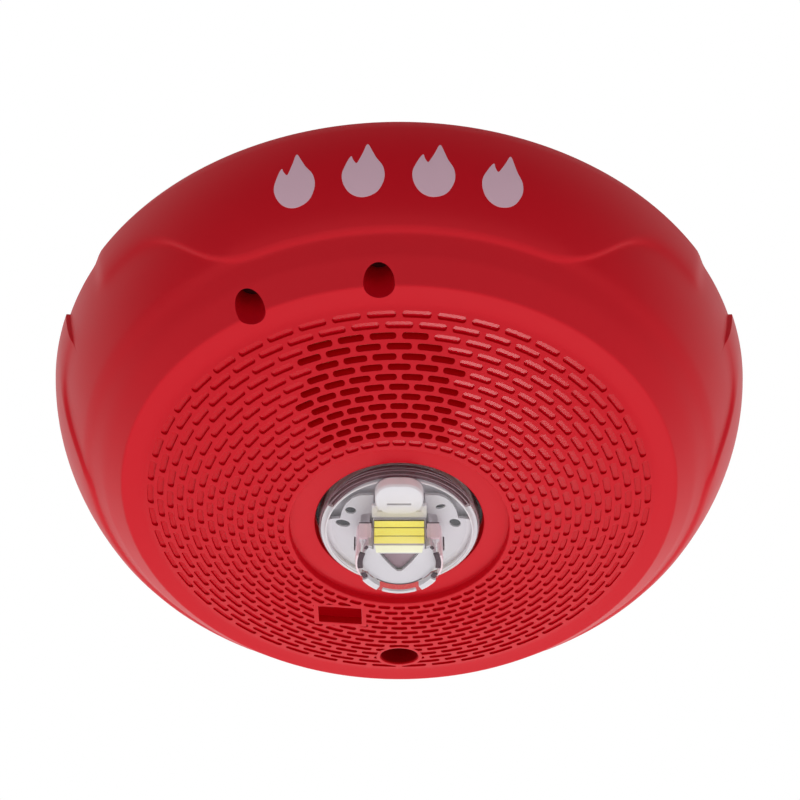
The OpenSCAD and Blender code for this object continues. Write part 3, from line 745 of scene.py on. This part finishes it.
cover, skin, skin_mesh = build_cover()
cover.name = "cover_shell"
on_skin = skin_normals(cover, skin, skin_mesh)
looks = cover_looks(cover.data, skin, on_skin)
bpy.data.meshes.remove(skin_mesh)
shading = vectors(cover.data.corner_normals, "vector", len(cover.data.loops))
to_metres(cover)
cover.data.normals_split_custom_set(shading.tolist())
cover.data.materials.clear()
for finish in COVER_LOOKS:
    cover.data.materials.append(finish)
cover.data.polygons.foreach_set("material_index", looks)
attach(cover, "head")
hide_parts("front_cover")


# ---- Strobe: clear lens, white reflector with its wings, yellow strips and inner optic ----

# The lens is a drum with a tower in the middle and, beside it, a bump given as (x, y, width, depth, corner)
LENS_IN_H = 37.0
DRUM_R = 19.0
FLOOR_H = 44.0
TOWER_R, TIP_H = 10.25, 54.5
BUMP = (0.0, -13.0, 12.2, 10.4, 4.6)


def tube(name, outer, inner, h0, h1, n=96):
    return revolve(name, [(inner, h0), (outer, h0), (outer, h1), (inner, h1)], n)


def sector(r0, r1, a0, a1, n=40):
    """Outline of a ring sector, angles in degrees."""
    out = []
    for r, order in ((r1, range(n + 1)), (r0, range(n, -1, -1))):
        for i in order:
            a = math.radians(a0 + (a1 - a0) * i / n)
            out.append((r * math.cos(a), r * math.sin(a)))
    return out


def oval(cx, cy, rx, ry, turn=0.0, n=24):
    t = math.radians(turn)
    return [(cx + rx * math.cos(a) * math.cos(t) - ry * math.sin(a) * math.sin(t),
             cy + rx * math.cos(a) * math.sin(t) + ry * math.sin(a) * math.cos(t))
            for a in (2 * math.pi * i / n for i in range(n))]


def strobe_piece(ob, look, angle=30.0):
    return finish_piece(ob, "head", look, angle=angle)


def drum_profile(inset):
    """Half section of the drum, ribbed outside; with an inset, of its hollow."""
    r = DRUM_R - inset
    in_h = LENS_IN_H - (1 if inset else 0)
    profile = [(0, in_h), (r, in_h)]
    if inset:
        profile += [(r, 41.6), (r - 0.3, 42.2)]
    else:
        for k in range(3):
            h = 41.5 + 0.55 * k
            profile += [(r - 0.12 * k, h), (r - 0.12 * k + 0.1, h + 0.14), (r - 0.12 * k, h + 0.3)]
        profile += [(r - 0.5, 43.2)]
    end_h = FLOOR_H - inset
    return profile + [(17.6 - inset, end_h - 0.25), (17.3 - inset, end_h), (0, end_h)]


def tower_profile(inset):
    r, tip = TOWER_R - inset, TIP_H - inset
    edge = 0.4 if inset else 0.9
    turns = [math.radians(a) for a in (90, 60, 30, 0)]
    steps = [(r - edge + edge * math.sin(a), tip - edge + edge * math.cos(a)) for a in turns]
    return [(0, LENS_IN_H + 1), (r, LENS_IN_H + 1)] + steps + [(0, tip)]


def bump_outline(grow=0.0):
    x, y, w, d, r = BUMP
    return rounded_rect(x, y, w + 2 * grow, d + 2 * grow, r + grow)


def bump_solid(inset):
    x, y, w, d, r = BUMP
    loops = []
    for grow, h in ((0, 40.0), (0, 46.0 - inset), (-0.3, 46.5 - inset), (-0.9, 46.8 - inset)):
        wide = 2 * (grow - inset)
        outline = rounded_rect(x, y, w + wide, d + wide, r - inset + grow * 0.5)
        loops.append([(px, py, -h) for px, py in outline])
    return solid("bump", loops)


def build_lens():
    lens = revolve("lens_clear", drum_profile(0), 128)
    flange = tube("flange", 22.5, 16, LENS_IN_H, 38.4, 128)
    weld(lens, revolve("tower", tower_profile(0), 96), bump_solid(0), flange)
    inner = revolve("inner", drum_profile(1.6), 128)
    weld(inner, revolve("tower", tower_profile(1.6), 96), bump_solid(1.3))
    cut(lens, inner)
    return drop_empty_faces(lens)


finish_piece(build_lens(), "head", CLEAR, ("strobe_lens",))

# White ring round the drum's end, a painted highlight on its rounded edge; the ribbed liner behind its side,
# coloured as painted shade and painted red reflection; and fine lines along the side
rim_highlight = [(17.1, 43.85), (17.4, 43.78), (17.6, 43.95), (17.45, 44.15), (17.15, 44.1)]
rim_highlight = cut(revolve("lens_rim_highlight", rim_highlight, 128), prism("bump", bump_outline(0.1), 43, 45))
strobe_piece(rim_highlight, MILKY, angle=50)
ribs = [(17.15 + (0.14 if k % 2 else 0.0), 38.8 + 0.28 * k) for k in range(13)]
strobe_piece(revolve("liner_shade_ring", [(16.6, 38.6)] + ribs + [(16.6, 42.2)], 128), LINER_SHADE)
for k, h in enumerate((41.3, 42.1, 42.9)):
    r = 18.85 - 0.5 * max(0, k - 1)
    strobe_piece(tube("drum_line_%d" % (k + 1), r, r - 0.25, h, h + 0.1, 128), LINE)

# Reflector: base, and post with its valley
reflector = cylinder("reflector_body", 17.2, 37.0, 38.5, n=96)
weld(reflector, box_solid("post", -6.2, 6.2, -4.4, 4.4, 38, 51.3))
finish_piece(reflector, "head", WHITE, ("reflector",))


def flipped(points, side):
    """Turns an outline drawn for the left-hand side into the right-hand one."""
    return points if side < 0 else [(-x, y) for x, y in points]


# Wings: milky bowls on both sides with their slots as (x, y, radii, turn), a dark plate of painted shade in
# each slot, on a floor painted grey as shade
wing_arc = sector(9.2, 17.3, 112, 186)
half = len(wing_arc) // 2
wing_outline = wing_arc[:half] + [(-16.4, -2.7), (-13.9, -3.0), (-13.5, -5.2), (-12.6, -7.6), (-11.0, -9.6),
                                  (-9.2, -10.6), (-6.0, -10.7), (-6.0, -4.9), (-8.9, -4.2)] + wing_arc[half:]
holes = {-1: ((-11.4, -5.6, 1.3, 1.1, 20), (-13.3, -1.3, 1.8, 1.1, 20)),
         1: ((-13.2, -1.4, 1.5, 1.2, 135), (-9.7, -6.9, 1.2, 0.7, 20))}
tower_edge_shades = ((8.5, 9.75, 171, 202, 53.6, 54.1), (8.5, 9.6, 150, 159, 53.8, 54.2),
               (9.0, 9.6, 213, 218, 53.8, 54.2), (10.3, 10.6, 178, 186, 46.4, 49.4))
for side, tag in ((-1, "left"), (1, "right")):
    def side_prism(name, outline, h0, h1):
        return prism(name, flipped(outline, side), h0, h1)

    wing = side_prism("wing_" + tag, wing_outline, 41.4, 42.2)
    strobe_piece(side_prism("wing_floor_" + tag, sector(7.0, 16.9, 112, 254), 39.6, 40.2), SHADE)
    for k, hole in enumerate(holes[side]):
        cut(wing, side_prism("slot", oval(*hole), 40, 44))
        strobe_piece(side_prism("wing_slot_%s_%d" % (tag, k + 1), oval(*hole), 41.4, 41.75), WING_SLOT_SHADE)
    strobe_piece(wing, MILKY)
    strobe_piece(side_prism("wing_lip_" + tag, sector(17.2, 18.5, 122, 206), 42.3, 43.1), MILKY)

    # Side window beside the strips, glowing as painted light, with its frame line of painted shade
    x0, x1 = sorted((side * 6.5, side * 9.4))
    strobe_piece(box_solid("side_pane_" + tag, x0, x1, -4.4, -3.8, 45.2, 49.8), GLOWING_ROSE)
    strobe_piece(box_solid("pane_shade_line_" + tag, x0, x1, -4.5, -4.4, 45.0, 45.25), SLIT_SHADE)

    # Leg, a glowing rose edge as painted light, dark slits of painted shade, and foot at the tower's side
    strobe_piece(side_prism("tower_leg_" + tag, sector(7.4, 8.5, 140, 214), 50.0, 52.6), MILKY)
    strobe_piece(side_prism("tower_edge_" + tag, sector(9.75, 10.15, 158, 196), 44.3, 54.0), GLOWING_ROSE)
    for k, (r0, r1, a0, a1, h0, h1) in enumerate(tower_edge_shades):
        strobe_piece(side_prism("tower_slot_%s_%d" % (tag, k + 1), sector(r0, r1, a0, a1, 8), h0, h1), SLIT_SHADE)
    strobe_piece(side_prism("tower_foot_" + tag, sector(8.6, 10.1, 122, 148), 52.9, 54.35), MILKY)

# Milky block that fills the bump, glowing as painted light, with its slot and a dark plate of painted shade
# in it, and the shelf between it and the strips, which glows as well
block = solid("bump_block", [[(x, y, -h) for x, y in bump_outline(-0.5 - g)]
                             for g, h in ((0, 43.5), (0, 45.7), (0.3, 46.2), (1.0, 46.4))])
cut(block, box_solid("slot", -2.8, 2.8, -12.1, -11.5, 45.9, 47))
strobe_piece(block, GLOWING_BLOCK_WHITE)
strobe_piece(box_solid("bump_slot_shade", -2.8, 2.8, -12.1, -11.5, 45.6, 46.0), SLIT_SHADE)
strobe_piece(box_solid("strip_shelf", -6.4, 6.4, -9.0, -5.1, 43.2, 44.0), GLOWING_BLOCK_WHITE)
for k, (x0, x1) in enumerate(((-5.2, -4.0), (-0.8, 0.8), (4.0, 5.2))):
    strobe_piece(box_solid("shelf_mark_%d" % (k + 1), x0, x1, -7.4, -7.1, 43.98, 44.05), SHADE)

# Yellow strips on both sides of the post, glowing as painted light, with dark gaps between the bands
bands = ((45.1, 46.95), (47.4, 49.65), (50.05, 52.3))
for tag, side in (("near", -1), ("far", 1)):
    yellow = None
    for h0, h1 in bands:
        y0, y1 = sorted((side * 4.45, side * 5.0))
        band = box_solid("led_bands_" + tag, -5.8, 5.8, y0, y1, h0, h1)
        yellow = weld(yellow, band) if yellow else band
    finish_piece(yellow, "head", GLOWING_YELLOW, ("led_strips",) if side < 0 else ())
    y0, y1 = sorted((side * 4.3, side * 4.85))
    carrier = box_solid("strip_carrier_" + tag, -5.9, 5.9, y0, y1, 44.5, 52.3)
    finish_piece(carrier, "head", DARK_LINE)

# Milky end of the inner optic: a disc cut flat at the strips, with a pointed hollow in it whose floor is
# painted shade, a dark edge line of painted shade, and a pale ledge that glows as painted light
flank = [(4.6 * (1 - t) ** 0.75, -2.2 + 6.3 * t) for t in (0.2, 0.4, 0.6, 0.8, 0.95)]
valley = [(-4.6, -2.2), (4.6, -2.2)] + flank + [(-x, y) for x, y in reversed(flank)]
cap = prism("optic_cap", sector(0.01, 8.4, -31, 211, 60), 52.3, 52.8)
weld(cap, box_solid("ledge", -5.9, 5.9, -5.0, 0, 52.3, 52.8))
cut(cap, prism("hollow", valley, 51, 54))
finish_piece(cap, "head", MILKY, ("inner_optic",))
strobe_piece(prism("valley_floor_shade", valley, 51.4, 51.8), VALLEY_SHADE)
strobe_piece(prism("cap_edge_shade", sector(8.15, 8.4, 50, 130), 52.8, 52.9), SLIT_SHADE)
strobe_piece(prism("front_arc", sector(9.35, 10.0, 66, 114), 53.6, 54.2), MILKY)
ledge = prism("pale_ledge_glow", [(-5.6, -5.0), (5.6, -5.0), (5.3, -2.6), (-5.3, -2.6)], 52.75, 52.95)
finish_piece(ledge, "head", GLOWING_PALE)


# ---- Printed marks: four plain flame symbols stand where the photo has lettering ----

def flame_outline(w, h):
    """A plain flame from smooth curves, as points round a closed outline."""
    keys = [(0.0, -0.5), (0.3, -0.42), (0.46, -0.2), (0.44, 0.02), (0.3, 0.2), (0.22, 0.34),
            (0.12, 0.5), (0.02, 0.33), (-0.06, 0.2), (-0.13, 0.12), (-0.2, 0.2), (-0.24, 0.27),
            (-0.36, 0.12), (-0.46, -0.08), (-0.42, -0.28), (-0.26, -0.44)]
    n, pts = len(keys), []
    for i in range(n):
        p0, p1, p2, p3 = (keys[(i + k - 1) % n] for k in range(4))
        for s in range(4):
            t = s / 4
            pts.append(tuple((w, h)[k] * 0.5 * (2 * p1[k] + (p2[k] - p0[k]) * t
                       + (2 * p0[k] - 5 * p1[k] + 4 * p2[k] - p3[k]) * t * t
                       + (3 * p1[k] - p0[k] - 3 * p2[k] + p3[k]) * t ** 3) for k in (0, 1)))
    return pts


def mark(name, x, h, w, tall):
    """A thin flame laid on the cover's side, x millimetres round it and with its middle at depth h."""
    flat = prism(name, flame_outline(w, tall), -1, 1)
    bm = bmesh.new()
    bm.from_mesh(flat.data)
    bmesh.ops.triangulate(bm, faces=bm.faces)
    for _ in range(12):
        long_edges = [e for e in bm.edges
                      if e.calc_length() > 1.6 and abs(e.verts[0].co.z - e.verts[1].co.z) < 0.1]
        if not long_edges:
            break
        bmesh.ops.subdivide_edges(bm, edges=long_edges, cuts=1)
        bmesh.ops.triangulate(bm, faces=bm.faces)
    for v in bm.verts:
        depth = h - v.co.y
        r = side_r(depth) + (0.05 if v.co.z > 0 else -0.05)
        a = math.radians(270) + (x + v.co.x) / side_r(h)
        v.co = (r * math.cos(a), r * math.sin(a), -depth)
    bmesh.ops.recalc_face_normals(bm, faces=bm.faces)
    bm.to_mesh(flat.data)
    bm.free()
    return finish_piece(flat, "head", MARK_RED_BOUNCE, angle=40)


for i, x in enumerate((-23.6, -8.0, 7.6, 23.2)):
    mark("flame_mark_%d" % (i + 1), x, 13.2, 10.2, 12.4)


# ---- Light, stage and camera ----

scene = bpy.context.scene
scene.view_settings.view_transform = "Standard"
scene.view_settings.look = "None"

world = bpy.data.worlds.new("studio")
scene.world = world
world.use_nodes = True
wt = world.node_tree
background = wt.nodes["Background"]
place = wt.nodes.new("ShaderNodeTexCoord")
along = wt.nodes.new("ShaderNodeVectorMath")
along.operation = "DOT_PRODUCT"
along.inputs[1].default_value = (0.0, 0.67, 0.74)
wt.links.new(place.outputs["Generated"], along.inputs[0])
ramp = wt.nodes.new("ShaderNodeMapRange")
ramp.interpolation_type = "SMOOTHSTEP"
ramp.inputs["From Min"].default_value = -0.35
ramp.inputs["From Max"].default_value = 0.55
ramp.inputs["To Min"].default_value = 0.1
ramp.inputs["To Max"].default_value = 1.0
wt.links.new(along.outputs["Value"], ramp.inputs["Value"])
wt.links.new(ramp.outputs["Result"], background.inputs["Color"])
background.inputs["Strength"].default_value = 1.0


def area_light(name, at, aim, size, power):
    data = bpy.data.lights.new(name, "AREA")
    data.shape = "SQUARE"
    data.size = size
    data.energy = power
    ob = bpy.data.objects.new(name, data)
    ob.location = at
    ob.rotation_euler = (Vector(aim) - Vector(at)).to_track_quat("-Z", "Y").to_euler()
    scene.collection.objects.link(ob)
    return ob


# A soft key that isn't mirrored, a weak fill, and a small light seen only as strips in the pocket floors
MIDDLE = (0, 0, -0.03)
key = area_light("key", (0.12, 0.65, -0.95), MIDDLE, 0.9, 4.25)
key.visible_glossy = False
area_light("fill", (-0.3, -0.35, -1.1), MIDDLE, 0.9, 0.3)
sheen = area_light("sheen", (0.058, 0.65, -0.86), MIDDLE, 0.11, 0.58)
sheen.visible_diffuse = False

FLOOR_HALF, FLOOR_Z = 6.0, -1.7
floor_corners = [(x * FLOOR_HALF, y * FLOOR_HALF, FLOOR_Z) for x, y in ((-1, -1), (1, -1), (1, 1), (-1, 1))]
floor = mesh_object("floor", floor_corners, [(0, 1, 2, 3)])
floor.data.materials.append(material("floor_pale", (0.82, 0.82, 0.82, 1), rough=0.6))

# Fitted to the cover's outline in the photograph
camera_data = bpy.data.cameras.new("camera")
camera_data.lens = 84.96
camera_data.sensor_width = 36.0
camera_data.shift_x = 0.001
camera_data.clip_start = 0.01
camera = bpy.data.objects.new("camera", camera_data)
camera.location = (0.0, -0.32237, -0.35340)
camera.rotation_euler = (math.radians(137.84), 0, 0)
scene.collection.objects.link(camera)
scene.camera = camera
